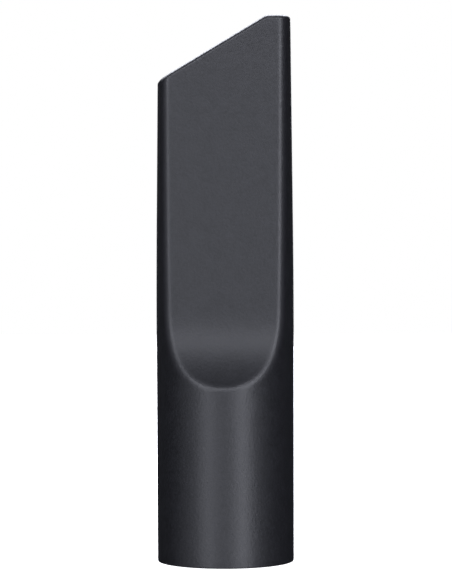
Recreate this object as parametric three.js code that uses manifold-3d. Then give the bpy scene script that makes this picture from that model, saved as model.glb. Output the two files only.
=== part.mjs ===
// A one-piece moulded crevice nozzle for a household vacuum. A round socket pushes onto the end of a
// 32 mm wand. Above it a concave scoop on the front and on the back thins the tube into a flat blade,
// which is open at its slanted mouth.
//
// Millimetres. +Z runs up the socket's axis to the mouth, the flat faces look along -Y and +Y, the mouth
// is highest on the +X side, and the origin is the centre of the socket's rim.

import * as THREE from "three";
import { mergeVertices } from "three/addons/utils/BufferGeometryUtils.js";
import Module from "manifold-3d";

const degrees = Math.PI / 180;

// Socket and wall
const height = 143.5; // from the socket's rim to the highest point of the mouth
const boreDiameter = 32; // at the rim, for a wand of 32 mm
const wall = 2;

// Round sides: the socket widens a little as it rises, then the blade closes in a little to the mouth
const socketFlare = 0.126 * degrees;
const bladeTaper = 0.55 * degrees;
const bendLow = 58; // the flare turns into the taper between these two heights
const bendHigh = 90;
const boreDraft = 0.25 * degrees; // lets the moulding core pull out through the socket

// Flat faces and scoops, alike on the front and on the back
const mouthHalfThickness = 6.75; // from the mid-plane to the outside of a face, at the top of the mouth
const faceTilt = 2.4 * degrees;
const scoopTop = 66; // where the flat face runs into the scoop
const scoopRadius = 31.5;
const edgeRadius = 3.3; // rounds the edge all along the blade and the scoop, on the outside

// Mouth: level on its high side, then cut on a slant down to the low side
const slantAngle = 30.9 * degrees;
const slantEndX = 11.1; // where the slant would meet the level stretch
const slantBendRadius = 3;

// Facets
const columns = 72;
const crowding = 0.25; // crowds the columns towards the narrow sides, where the section bends most
const socketRings = 3;
const scoopRings = 16;
const bladeRings = 6;
const scoopFoot = 42; // just under the lowest point of the scoop's rounded edge
const overrun = 5; // how far each blank and cutter runs past what it trims

/** Radius of the outside of the round sides at a height. */
function sideRadius(z) {
  const rise = Math.tan(socketFlare);
  const turned = THREE.MathUtils.clamp((z - bendLow) / (bendHigh - bendLow), 0, 1);
  const pastBend = (turned ** 2 * (bendHigh - bendLow)) / 2 + Math.max(z - bendHigh, 0);
  return boreDiameter / 2 + wall + rise * z - (rise + Math.tan(bladeTaper)) * pastBend;
}

/** Radius of the bore at a height. */
function boreRadius(z) {
  return boreDiameter / 2 - z * Math.tan(boreDraft);
}

// The two skins of the wall. A skin's flat faces lie `inset` inside the outer faces.
const outerSkin = { radiusAt: sideRadius, inset: 0, edgeRadius };
const innerSkin = { radiusAt: boreRadius, inset: wall, edgeRadius: edgeRadius - wall };

// The scoop's arc starts at scoopTop, tangent to the flat face, and is centred outside the nozzle.
// Both are in the plane of the height and the distance from the mid-plane.
const faceNormal = new THREE.Vector2(Math.cos(faceTilt), Math.sin(faceTilt));
const arcStart = new THREE.Vector2(mouthHalfThickness + (height - scoopTop) * Math.tan(faceTilt), scoopTop);
const arcCentre = faceNormal.clone().multiplyScalar(scoopRadius).add(arcStart);

/** Signed distance out from the outer face, and the normal there, for a point off the mid-plane. */
function faceAt(offPlane, z) {
  const point = new THREE.Vector2(offPlane, z);
  const toCentre = arcCentre.clone().sub(point);
  if (toCentre.angle() < faceTilt || toCentre.y < 0) {
    return { distance: point.sub(arcStart).dot(faceNormal), normal: faceNormal };
  }
  return { distance: scoopRadius - toCentre.length(), normal: toCentre.normalize() };
}

/** How far a point lies outside a skin. Where side and face meet, a ball of the edge radius rounds them. */
function outsideOf(skin, radius, angle, z) {
  const offPlane = radius * Math.abs(Math.cos(angle));
  const face = faceAt(offPlane, z);
  const side = radius - skin.radiusAt(z) + skin.edgeRadius;
  const flat = face.distance + skin.inset + skin.edgeRadius;
  const cosine = Math.abs(Math.cos(angle)) * face.normal.x; // between the side's and the face's normals
  if (side > flat * cosine && flat > side * cosine) {
    const squared = (side ** 2 + flat ** 2 - 2 * side * flat * cosine) / (1 - cosine ** 2);
    return Math.sqrt(squared) - skin.edgeRadius;
  }
  return Math.max(side, flat) - skin.edgeRadius;
}

/** Radius of a skin in one direction from the axis, at a height. An angle of 0 looks along -Y. */
function skinRadius(skin, angle, z) {
  let inside = 0;
  let outside = skin.radiusAt(z);
  for (let halving = 0; halving < 30; halving++) {
    const middle = (inside + outside) / 2;
    if (outsideOf(skin, middle, angle, z) > 0) outside = middle;
    else inside = middle;
  }
  return outside;
}

/** Heights from `low` up to but not including `high`, in equal steps. */
function steps(low, high, count) {
  return Array.from({ length: count }, (_, i) => low + ((high - low) * i) / count);
}

/** A closed blank inside a skin: a lathe turning whose rings are pulled in to the skin. */
function blank(skin, low) {
  const top = height + overrun;
  const rings = [
    ...steps(low, scoopFoot, socketRings),
    ...steps(scoopFoot, scoopTop, scoopRings),
    ...steps(scoopTop, top, bladeRings),
    top,
  ];
  const profile = rings.map((z) => new THREE.Vector2(skin.radiusAt(z), z));
  const onAxis = (z) => new THREE.Vector2(0, z);
  const turning = new THREE.LatheGeometry([onAxis(low), ...profile, onAxis(top)], columns);
  turning.rotateX(Math.PI / 2);
  const positions = turning.getAttribute("position");
  const point = new THREE.Vector3();
  for (let i = 0; i < positions.count; i++) {
    point.fromBufferAttribute(positions, i);
    if (Math.hypot(point.x, point.y) < wall) continue; // on the axis
    const evenAngle = Math.atan2(point.x, -point.y);
    const angle = evenAngle + crowding * Math.sin(2 * evenAngle);
    const radius = skinRadius(skin, angle, point.z);
    positions.setXY(i, radius * Math.sin(angle), -radius * Math.cos(angle));
  }
  return turning;
}

/** What is cut away above the mouth: everything over the slant and over the level stretch. */
function mouthCutter() {
  const reach = boreDiameter; // past the sides, the front and the back
  const lowEndZ = height - (slantEndX + reach) * Math.tan(slantAngle);
  const tangentLength = slantBendRadius * Math.tan(slantAngle / 2);
  const bendCentre = new THREE.Vector2(slantEndX + tangentLength, height - slantBendRadius);
  const outline = new THREE.Shape();
  outline.moveTo(-reach, height + 2 * overrun);
  outline.lineTo(-reach, lowEndZ);
  outline.absarc(bendCentre.x, bendCentre.y, slantBendRadius, Math.PI / 2 + slantAngle, Math.PI / 2, true);
  outline.lineTo(reach, height);
  outline.lineTo(reach, height + 2 * overrun);
  const slab = new THREE.ExtrudeGeometry(outline, { depth: 2 * reach, bevelEnabled: false, curveSegments: 6 });
  return slab.translate(0, 0, -reach).rotateX(Math.PI / 2);
}

const wasm = await Module();
wasm.setup();

/** A closed geometry as a solid that can be cut. */
function toSolid(geometry) {
  geometry.deleteAttribute("normal");
  geometry.deleteAttribute("uv");
  const merged = mergeVertices(geometry);
  const vertProperties = merged.getAttribute("position").array;
  const triVerts = new Uint32Array(merged.index.array);
  return new wasm.Manifold(new wasm.Mesh({ numProp: 3, vertProperties, triVerts }));
}

/** A solid as a geometry again. */
function toGeometry(solid) {
  const mesh = solid.getMesh();
  const geometry = new THREE.BufferGeometry();
  geometry.setAttribute("position", new THREE.BufferAttribute(mesh.vertProperties, mesh.numProp));
  geometry.setIndex(new THREE.BufferAttribute(mesh.triVerts, 1));
  geometry.computeVertexNormals();
  return geometry;
}

/** The whole nozzle: the outer blank, hollowed by the core and trimmed at the mouth. */
function nozzleBody() {
  const shell = toSolid(blank(outerSkin, 0)).subtract(toSolid(blank(innerSkin, -overrun)));
  const material = new THREE.MeshStandardMaterial({ color: 0x2b2c30, roughness: 0.5, metalness: 0 });
  const mesh = new THREE.Mesh(toGeometry(shell.subtract(toSolid(mouthCutter()))), material);
  mesh.name = "nozzle_body";
  return mesh;
}

const nozzle = new THREE.Group();
nozzle.add(nozzleBody());

export default nozzle;
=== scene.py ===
"""A crevice nozzle for a household vacuum, as one dark moulded plastic piece on a pale studio floor."""

import math

import bpy
import numpy as np
from mathutils import Matrix, Vector


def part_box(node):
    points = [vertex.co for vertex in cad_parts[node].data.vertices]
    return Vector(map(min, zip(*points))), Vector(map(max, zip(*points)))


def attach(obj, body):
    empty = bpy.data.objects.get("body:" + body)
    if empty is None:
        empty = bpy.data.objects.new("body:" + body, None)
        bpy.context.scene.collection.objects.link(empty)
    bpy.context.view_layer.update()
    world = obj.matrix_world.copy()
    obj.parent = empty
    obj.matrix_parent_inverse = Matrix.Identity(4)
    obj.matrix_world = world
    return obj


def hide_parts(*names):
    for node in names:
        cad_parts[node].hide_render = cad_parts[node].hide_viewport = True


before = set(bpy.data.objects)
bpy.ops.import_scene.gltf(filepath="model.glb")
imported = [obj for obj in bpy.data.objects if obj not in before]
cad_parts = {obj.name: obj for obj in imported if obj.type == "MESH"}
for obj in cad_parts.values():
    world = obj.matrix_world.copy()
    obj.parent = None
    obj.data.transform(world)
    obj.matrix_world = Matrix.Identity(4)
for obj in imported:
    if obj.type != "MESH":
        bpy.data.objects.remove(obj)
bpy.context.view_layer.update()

MM = 0.001

# ---------------------------------------------------------------------------
# Driving dimensions of the nozzle, in millimetres and radians: those of the CAD part
# ---------------------------------------------------------------------------

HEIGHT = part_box("nozzle_body")[1][2] / MM  # from the socket's rim to the highest point of the mouth
BORE_DIAMETER = 32.0
WALL = 2.0

# Round sides: the socket widens a little as it rises, then the blade closes in a little to the mouth
SOCKET_FLARE = math.radians(0.126)
BLADE_TAPER = math.radians(0.55)
BEND_LOW, BEND_HIGH = 58.0, 90.0  # the flare turns into the taper between these two heights
BORE_DRAFT = math.radians(0.25)

# Flat faces and scoops, alike on the front and on the back
MOUTH_HALF_THICKNESS = 6.75
FACE_TILT = math.radians(2.4)
SCOOP_TOP = 66.0
SCOOP_FOOT = 42.0  # just under the lowest point of the scoop's rounded edge
SCOOP_RADIUS = 31.5
EDGE_RADIUS = 3.3  # rounds the edge all along the blade and the scoop, on the outside

# Mouth: level on its high side, then cut on a slant down to the low side
SLANT_ANGLE = math.radians(30.9)
SLANT_END_X = 11.1  # where the slant would meet the level stretch
SLANT_BEND_RADIUS = 3.0

# Small edges that only this fine surface has
OUTER_LIP_RADIUS = 1.1  # around the mouth, on the flat faces
INNER_LIP_RADIUS = 0.7
NARROW_LIP_SHARE = 0.35  # of those two radii is left on the narrow sides
NARROW_SIDE_COSINE = 0.4  # of the direction, from -Y, in which a flat face ends and a narrow side begins
SOCKET_LIP_RADIUS = 0.35
PARTING_LINE_HEIGHT = 0.03
PARTING_LINE_WIDTH = 0.25

# ---------------------------------------------------------------------------
# The moulded surface
# ---------------------------------------------------------------------------

COLUMNS = 360
CROWDING = 0.25  # crowds the columns towards the narrow sides, where the section bends most
OUTSIDE_RINGS = (14, 64, 34)  # up the socket, up the scoop and up the blade
INSIDE_RINGS = (8, 36, 20)
MOUTH_LIP_STEPS = 9
SOCKET_LIP_STEPS = 4
HALVINGS = 34  # until a skin is found to well under a thousandth of a millimetre
MOUTH_PASSES = 10  # until the mouth's heights and radii, which depend on each other, have settled
WEAR_ATTRIBUTE = "wear"  # how much each point of the mesh has been rubbed, from 0 to 1


def side_radius(z):
    """Radius of the outside of the round sides: a slight flare that turns into the blade's taper."""
    rise = math.tan(SOCKET_FLARE)
    turned = np.clip((z - BEND_LOW) / (BEND_HIGH - BEND_LOW), 0, 1)
    past_bend = turned**2 * (BEND_HIGH - BEND_LOW) / 2 + np.maximum(z - BEND_HIGH, 0)
    return BORE_DIAMETER / 2 + WALL + rise * z - (rise + math.tan(BLADE_TAPER)) * past_bend


def bore_radius(z):
    """Radius of the bore, which narrows with the moulding core's draft."""
    return BORE_DIAMETER / 2 - z * math.tan(BORE_DRAFT)


# A skin is (radius of its round sides, inset of its flat faces, radius of its edges)
OUTER = (side_radius, 0.0, EDGE_RADIUS)
INNER = (bore_radius, WALL, EDGE_RADIUS - WALL)

# The scoop's arc starts at SCOOP_TOP, tangent to the flat face, and is centred outside the nozzle
ARC_START_Y = MOUTH_HALF_THICKNESS + (HEIGHT - SCOOP_TOP) * math.tan(FACE_TILT)
ARC_CENTRE_Y = ARC_START_Y + SCOOP_RADIUS * math.cos(FACE_TILT)
ARC_CENTRE_Z = SCOOP_TOP + SCOOP_RADIUS * math.sin(FACE_TILT)


def face_at(off_plane, z):
    """Distance out from the outer face, and the level part of the normal there."""
    to_y, to_z = ARC_CENTRE_Y - off_plane, ARC_CENTRE_Z - z
    reach = np.hypot(to_y, to_z)
    on_flat = to_z < to_y * math.tan(FACE_TILT)
    flat = (off_plane - ARC_START_Y) * math.cos(FACE_TILT) + (z - SCOOP_TOP) * math.sin(FACE_TILT)
    distance = np.where(on_flat, flat, SCOOP_RADIUS - reach)
    return distance, np.where(on_flat, math.cos(FACE_TILT), to_y / reach)


def side_and_face(skin, radius, angle, z):
    """Distances outside a skin's side and face, both plus its edge radius, and the cosine between them."""
    radius_at, inset, edge = skin
    distance, level = face_at(radius * np.abs(np.cos(angle)), z)
    return radius - radius_at(z) + edge, distance + inset + edge, np.abs(np.cos(angle)) * level


def outside_of(skin, radius, angle, z):
    """How far a point lies outside a skin, whose edge between side and face a rolling ball rounds."""
    side, face, cosine = side_and_face(skin, radius, angle, z)
    ball = np.sqrt(np.maximum(side**2 + face**2 - 2 * side * face * cosine, 0) / (1 - cosine**2))
    on_edge = (side > face * cosine) & (face > side * cosine)
    return np.where(on_edge, ball, np.maximum(side, face)) - skin[2]


def edge_share(skin, radius, angle, z):
    """1 along the middle of a rounded edge, falling to 0 where it meets the side and the face."""
    side, face, cosine = side_and_face(skin, radius, angle, z)
    balance = np.minimum(side, face) / np.maximum(side, face)
    return np.clip((balance - cosine) / (1 - cosine), 0, 1)


def skin_radius(skin, angle, z, outwards):
    """Radius where a point lies `outwards` from a skin, at a height and in a direction from the axis."""
    inside = np.zeros(np.broadcast(angle, z).shape)
    outside = inside + BORE_DIAMETER
    for _ in range(HALVINGS):
        middle = (inside + outside) / 2
        beyond = outside_of(skin, middle, angle, z) > outwards
        outside = np.where(beyond, middle, outside)
        inside = np.where(beyond, inside, middle)
    return outside


def mouth_height(x, below):
    """Height of the mouth's outline, moved down square to itself by `below`."""
    bend_x = SLANT_END_X + SLANT_BEND_RADIUS * math.tan(SLANT_ANGLE / 2)
    bend_z = HEIGHT - SLANT_BEND_RADIUS
    radius = SLANT_BEND_RADIUS - below
    slant_start = bend_x - radius * math.sin(SLANT_ANGLE)
    slant = bend_z + radius * math.cos(SLANT_ANGLE) - (slant_start - x) * math.tan(SLANT_ANGLE)
    bend = bend_z + np.sqrt(np.maximum(radius**2 - (x - bend_x) ** 2, 0))
    return np.where(x < slant_start, slant, np.where(x > bend_x, HEIGHT - below, bend))


EVEN_ANGLES = np.arange(COLUMNS) * (2 * math.pi / COLUMNS)
ANGLES = EVEN_ANGLES + CROWDING * np.sin(2 * EVEN_ANGLES)  # from -Y towards +X


def ring(radius, z, rubbed):
    """One ring of points: x, y and z in metres, and how much each point has been rubbed."""
    x, y = radius * np.sin(ANGLES) * MM, -radius * np.cos(ANGLES) * MM
    return np.stack(np.broadcast_arrays(x, y, z * MM, rubbed), axis=1)


def parting_ridge():
    """Height of the mould's fine parting line, which runs up the middle of each narrow side."""
    off_line = (BORE_DIAMETER / 2 + WALL) * np.abs(np.cos(ANGLES))
    return PARTING_LINE_HEIGHT * np.exp(-((2 * off_line / PARTING_LINE_WIDTH) ** 2))


def wall_ring(skin, z, relief):
    """The ring of a skin at one height, or at one height for each column, rubbed along its edges."""
    radius = skin_radius(skin, ANGLES, z, 0)
    return ring(radius + relief, z, np.sqrt(edge_share(skin, radius, ANGLES, z)))


def mouth_ring(skin, outwards, below):
    """The ring of a skin that runs `below` under the mouth's outline, as (radius, height)."""
    z = np.full(COLUMNS, HEIGHT)
    for _ in range(MOUTH_PASSES):
        radius = skin_radius(skin, ANGLES, z, outwards)
        z = mouth_height(radius * np.sin(ANGLES), below)
    return radius, z


def mouth_lip_radius(full_radius):
    """Radius of the mouth's lip in each column: full on the flat faces, smaller on the narrow sides."""
    on_face = np.clip(np.abs(np.cos(ANGLES)) / NARROW_SIDE_COSINE, 0, 1)
    return full_radius * (NARROW_LIP_SHARE + (1 - NARROW_LIP_SHARE) * on_face**2)


def lip_steps(lip_radius, count):
    """(depth into the wall, distance from the end) around a quarter-round lip, from the wall to the end."""
    turns = [math.pi / 2 * i / count for i in range(count + 1)]
    return [(lip_radius * (1 - math.cos(t)), lip_radius * (1 - math.sin(t))) for t in turns]


def heights(low, high, count):
    """Heights from `low` up to but not including `high`, in equal steps."""
    return [low + (high - low) * i / count for i in range(count)]


def wall_rings(skin, inwards, lip_radius, ring_counts, relief):
    """One side of the wall from the socket's rim up to the mouth, with both lips rubbed all over."""
    mouth_lip = lip_steps(mouth_lip_radius(lip_radius), MOUTH_LIP_STEPS)
    socket_lip = lip_steps(SOCKET_LIP_RADIUS, SOCKET_LIP_STEPS)[1:]
    _, blade_top = mouth_ring(skin, 0, mouth_lip[0][1])
    socket_count, scoop_count, blade_count = ring_counts
    rises = [
        *heights(SOCKET_LIP_RADIUS, SCOOP_FOOT, socket_count),
        *heights(SCOOP_FOOT, SCOOP_TOP, scoop_count),
        *heights(SCOOP_TOP, blade_top, blade_count),
    ]
    return [
        *(ring(skin_radius(skin, ANGLES, z, inwards * depth), z, 1.0) for depth, z in reversed(socket_lip)),
        *(wall_ring(skin, z, relief) for z in rises),
        *(ring(*mouth_ring(skin, inwards * depth, below), 1.0) for depth, below in mouth_lip),
    ]


def closed_wall(name, rings):
    """A mesh whose rings run up the outside, over the mouth, down the inside and back to the start."""
    points = np.concatenate(rings)
    faces = []
    for row in range(len(rings)):
        this, above = row * COLUMNS, (row + 1) % len(rings) * COLUMNS
        for column in range(COLUMNS):
            beside = (column + 1) % COLUMNS
            faces.append((this + column, this + beside, above + beside, above + column))
    mesh = bpy.data.meshes.new(name)
    mesh.from_pydata(points[:, :3].tolist(), [], faces)
    mesh.shade_smooth()
    mesh.attributes.new(WEAR_ATTRIBUTE, "FLOAT", "POINT").data.foreach_set("value", points[:, 3])
    piece = bpy.data.objects.new(name, mesh)
    bpy.context.scene.collection.objects.link(piece)
    return piece


def nozzle_shell():
    """The whole nozzle, finely meshed, standing for the CAD solid."""
    outside = wall_rings(OUTER, -1, OUTER_LIP_RADIUS, OUTSIDE_RINGS, parting_ridge())
    inside = wall_rings(INNER, 1, INNER_LIP_RADIUS, INSIDE_RINGS, 0.0)
    piece = closed_wall("nozzle_shell", outside + inside[::-1])
    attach(piece, "root")
    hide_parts("nozzle_body")
    return piece


# ---------------------------------------------------------------------------
# Material
# ---------------------------------------------------------------------------

DARK_PLASTIC = (0.0081, 0.0083, 0.0096)
LIGHT_PLASTIC = (0.0109, 0.0111, 0.0129)
ROUGHNESS = 0.42

# Fine moulded grain, with its size and depth in millimetres
GRAIN_SIZE = 0.68
GRAIN_DETAIL = 3.0
GRAIN_DEPTH = 0.048
GRAIN_ROUGHNESS = 0.032
GRAIN_COLOUR = (0.0215, 0.0220, 0.0265)
GRAIN_TINT = 0.3  # how far the highest grains go towards that colour

# Faint clouding, with its size in millimetres
MOTTLING_SIZE = 3.0
MOTTLING_DETAIL = 4.0
MOTTLING_ROUGHNESS = 0.012

# Lips and edges rubbed by use
RUBBED_PLASTIC = (0.014, 0.014, 0.0165)
LEAST_RUBBED = 0.4  # share of the full wear where the clouding is darkest
WORN_GLOSS = 0.08

NOISE_LOW, NOISE_HIGH = 0.3, 0.7  # nearly all of a noise lies between these


def noise(tree, position, size, detail):
    """Noise over the surface, with features about `size` millimetres across."""
    texture = tree.nodes.new("ShaderNodeTexNoise")
    texture.inputs["Scale"].default_value = 1 / (size * MM)
    texture.inputs["Detail"].default_value = detail
    tree.links.new(position, texture.inputs["Vector"])
    return texture.outputs["Fac"]


def spread(tree, value, low, high):
    """A noise stretched to run from `low` to `high`."""
    stretch = tree.nodes.new("ShaderNodeMapRange")
    stretch.inputs["From Min"].default_value = NOISE_LOW
    stretch.inputs["From Max"].default_value = NOISE_HIGH
    stretch.inputs["To Min"].default_value = low
    stretch.inputs["To Max"].default_value = high
    tree.links.new(value, stretch.inputs["Value"])
    return stretch.outputs["Result"]


def give(tree, socket, value):
    """Feeds a socket from another node, or sets it to a number or a colour."""
    if isinstance(value, bpy.types.NodeSocket):
        tree.links.new(value, socket)
    elif isinstance(value, tuple):
        socket.default_value = (*value, 1)
    else:
        socket.default_value = value


def combine(tree, operation, first, second):
    """Two values put together by one sum, difference or product."""
    maths = tree.nodes.new("ShaderNodeMath")
    maths.operation = operation
    give(tree, maths.inputs[0], first)
    give(tree, maths.inputs[1], second)
    return maths.outputs["Value"]


def mix_colours(tree, share, first, second):
    """A colour that goes from the first to the second as the share goes from 0 to 1."""
    mix = tree.nodes.new("ShaderNodeMix")
    mix.data_type = "RGBA"
    give(tree, mix.inputs["Factor"], share)
    give(tree, mix.inputs["A"], first)
    give(tree, mix.inputs["B"], second)
    return mix.outputs["Result"]


def moulded_plastic():
    """Dark blue-grey moulded plastic: a fine grain, faint clouding, and paler glossier rubbed edges."""
    material = bpy.data.materials.new("moulded_plastic")
    material.use_nodes = True
    tree = material.node_tree
    shader = tree.nodes["Principled BSDF"]
    position = tree.nodes.new("ShaderNodeTexCoord").outputs["Object"]

    grain = noise(tree, position, GRAIN_SIZE, GRAIN_DETAIL)
    mottling = noise(tree, position, MOTTLING_SIZE, MOTTLING_DETAIL)
    wear = tree.nodes.new("ShaderNodeAttribute")
    wear.attribute_name = WEAR_ATTRIBUTE
    worn = combine(tree, "MULTIPLY", wear.outputs["Fac"], spread(tree, mottling, LEAST_RUBBED, 1))

    mottled = mix_colours(tree, spread(tree, mottling, 0, 1), DARK_PLASTIC, LIGHT_PLASTIC)
    speckled = mix_colours(tree, spread(tree, grain, 0, GRAIN_TINT), mottled, GRAIN_COLOUR)
    rubbed = mix_colours(tree, worn, speckled, RUBBED_PLASTIC)
    tree.links.new(rubbed, shader.inputs["Base Color"])

    grained = spread(tree, grain, ROUGHNESS - GRAIN_ROUGHNESS, ROUGHNESS + GRAIN_ROUGHNESS)
    clouded = combine(tree, "ADD", grained, spread(tree, mottling, -MOTTLING_ROUGHNESS, MOTTLING_ROUGHNESS))
    polished = combine(tree, "SUBTRACT", clouded, combine(tree, "MULTIPLY", worn, WORN_GLOSS))
    tree.links.new(polished, shader.inputs["Roughness"])

    bump = tree.nodes.new("ShaderNodeBump")
    bump.inputs["Distance"].default_value = GRAIN_DEPTH * MM
    tree.links.new(grain, bump.inputs["Height"])
    tree.links.new(bump.outputs["Normal"], shader.inputs["Normal"])
    return material


# ---------------------------------------------------------------------------
# Studio
# ---------------------------------------------------------------------------

# Camera, in metres and radians
CAMERA_DISTANCE = 0.563  # from the nozzle's axis
CAMERA_HEIGHT = 0.071
CAMERA_AZIMUTH = math.radians(1.6)
CAMERA_ROLL = math.radians(-0.19)
CAMERA_FIELD = math.radians(15.63)  # over the frame's height, its longer side
AIM_OFFSET = 0.00026  # the camera looks this far to the right of the axis


def add_camera():
    """The camera, which looks level and nearly square at the front."""
    data = bpy.data.cameras.new("camera")
    data.angle = CAMERA_FIELD
    camera = bpy.data.objects.new("camera", data)
    turn = Matrix.Rotation(CAMERA_AZIMUTH, 4, "Z")
    place = Matrix.Translation((AIM_OFFSET, -CAMERA_DISTANCE, CAMERA_HEIGHT))
    upright = Matrix.Rotation(math.pi / 2, 4, "X") @ Matrix.Rotation(CAMERA_ROLL, 4, "Z")
    camera.matrix_world = turn @ place @ upright
    bpy.context.scene.collection.objects.link(camera)
    bpy.context.scene.camera = camera


FLOOR_REACH = 3.0  # metres from its middle to each side
FLOOR_GREY = 0.9
AMBIENT = 0.005  # strength of the background's light on the nozzle
LIGHT_DISTANCE = 2.2  # metres
LIGHT_COLOUR = (0.953, 0.975, 1.08)

# name: (azimuth and elevation of its middle, half its width and half its height, all in degrees as seen
# from the nozzle, brightness as a multiple of white)
SOFTBOXES = {
    "left_strip": (-29, -5, 9, 32, 3.3),
    "right_strip": (31, -5, 9, 32, 4.95),
    "left_fill": (-60, 0, 18, 30, 0.38),
    "right_fill": (60, 0, 18, 30, 0.22),
    "front_fill": (0, -9, 22, 20, 0.8),
    "overhead_bank": (3, 32.5, 44, 8, 4.35),
    "top_fill": (0, 64, 36, 14, 0.32),
    "rear_bank": (180, 58, 30, 22, 8.0),
    "rear_left": (-140, 42, 15, 16, 2.6),
    "rear_strip": (180, -5, 10, 32, 4.0),
}


def add_softbox(name, azimuth, elevation, half_width, half_height, brightness):
    """A rectangular soft light aimed at the middle of the nozzle."""
    data = bpy.data.lights.new(name, "AREA")
    data.shape = "RECTANGLE"
    data.size = 2 * LIGHT_DISTANCE * math.tan(math.radians(half_width))
    data.size_y = 2 * LIGHT_DISTANCE * math.tan(math.radians(half_height))
    data.energy = math.pi * data.size * data.size_y * brightness
    data.color = LIGHT_COLOUR
    light = bpy.data.objects.new(name, data)
    direction = Vector((0, -1, 0))
    direction.rotate(Matrix.Rotation(math.radians(-elevation), 3, "X"))
    direction.rotate(Matrix.Rotation(math.radians(azimuth), 3, "Z"))
    light.location = Vector((0, 0, HEIGHT * MM / 2)) + direction * LIGHT_DISTANCE
    light.rotation_euler = (-direction).to_track_quat("-Z", "Y").to_euler()
    light.visible_camera = False
    bpy.context.scene.collection.objects.link(light)


def add_floor():
    """A plain floor that glows white, so that it runs into the white background."""
    mesh = bpy.data.meshes.new("floor")
    corners = [(x * FLOOR_REACH, y * FLOOR_REACH, 0) for x, y in ((-1, -1), (1, -1), (1, 1), (-1, 1))]
    mesh.from_pydata(corners, [], [(0, 1, 2, 3)])
    floor = bpy.data.objects.new("floor", mesh)
    bpy.context.scene.collection.objects.link(floor)
    material = bpy.data.materials.new("floor")
    material.use_nodes = True
    shader = material.node_tree.nodes["Principled BSDF"]
    shader.inputs["Base Color"].default_value = (FLOOR_GREY, FLOOR_GREY, FLOOR_GREY, 1)
    shader.inputs["Emission Color"].default_value = (1, 1, 1, 1)
    shader.inputs["Emission Strength"].default_value = 1.0
    mesh.materials.append(material)
    floor.visible_diffuse = False
    floor.visible_glossy = False
    floor.visible_shadow = False


def add_world():
    """A white background that lights the nozzle only dimly."""
    world = bpy.data.worlds.new("world")
    bpy.context.scene.world = world
    world.use_nodes = True
    nodes, links = world.node_tree.nodes, world.node_tree.links
    backdrop = nodes["Background"]
    backdrop.inputs["Color"].default_value = (1, 1, 1, 1)
    rays = nodes.new("ShaderNodeLightPath")
    brightness = nodes.new("ShaderNodeMapRange")
    brightness.inputs["To Min"].default_value = AMBIENT
    links.new(rays.outputs["Is Camera Ray"], brightness.inputs["Value"])
    links.new(brightness.outputs["Result"], backdrop.inputs["Strength"])


nozzle = nozzle_shell()
nozzle.data.materials.append(moulded_plastic())
add_camera()
add_floor()
add_world()
for name, placing in SOFTBOXES.items():
    add_softbox(name, *placing)
bpy.context.scene.view_settings.view_transform = "Standard"
